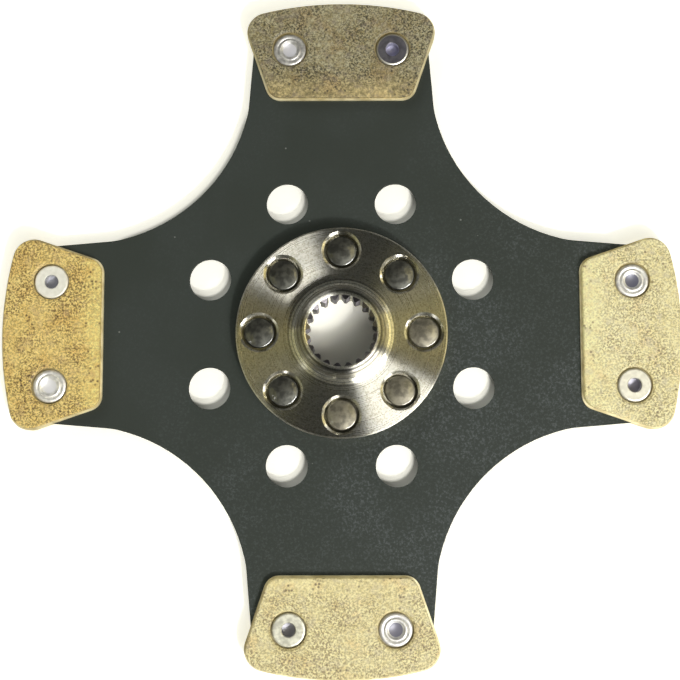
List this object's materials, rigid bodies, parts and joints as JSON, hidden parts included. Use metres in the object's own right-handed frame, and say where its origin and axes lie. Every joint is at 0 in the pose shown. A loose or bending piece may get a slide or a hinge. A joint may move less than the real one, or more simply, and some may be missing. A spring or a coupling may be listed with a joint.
{
  "type": "clutch disc",
  "caption": "Rigid clutch disc: sintered paddle pads riveted to both sides of a cross-shaped steel carrier plate, with a riveted, splined centre hub.",
  "frame": {"origin": "on the spline axis, in the plane of the rear friction faces, on which the disc lies", "axes": "+Z along the spline axis, towards the long boss of the hub and the front friction faces; the arms lie along +X, +Y, -X and -Y"},
  "size_m": [0.24, 0.24, 0.016],
  "materials": {
    "carrier": "matt dark grey-green blackened steel",
    "hub": "turned steel with fine concentric marks, thinly oiled",
    "hub_rivet": "smooth steel, slightly darkened",
    "lining": "sintered bronze with dark pores and specks",
    "backing": "thin steel sheet with a copper-bronze flash",
    "pad_rivet": "bright zinc-plated steel"
  },
  "bodies": {
    "root": {"carrier_plate": "carrier", "hub": "hub", "hub_rivet_1": "hub_rivet", "hub_rivet_2": "hub_rivet", "hub_rivet_3": "hub_rivet", "hub_rivet_4": "hub_rivet", "hub_rivet_5": "hub_rivet", "hub_rivet_6": "hub_rivet", "hub_rivet_7": "hub_rivet", "hub_rivet_8": "hub_rivet", "front_lining_1": "lining", "front_backing_1": "backing", "rear_backing_1": "backing", "rear_lining_1": "lining", "front_lining_2": "lining", "front_backing_2": "backing", "rear_backing_2": "backing", "rear_lining_2": "lining", "front_lining_3": "lining", "front_backing_3": "backing", "rear_backing_3": "backing", "rear_lining_3": "lining", "front_lining_4": "lining", "front_backing_4": "backing", "rear_backing_4": "backing", "rear_lining_4": "lining", "pad_rivet_1": "pad_rivet", "pad_rivet_2": "pad_rivet", "pad_rivet_3": "pad_rivet", "pad_rivet_4": "pad_rivet", "pad_rivet_5": "pad_rivet", "pad_rivet_6": "pad_rivet", "pad_rivet_7": "pad_rivet", "pad_rivet_8": "pad_rivet"}
  },
  "joints": []
}
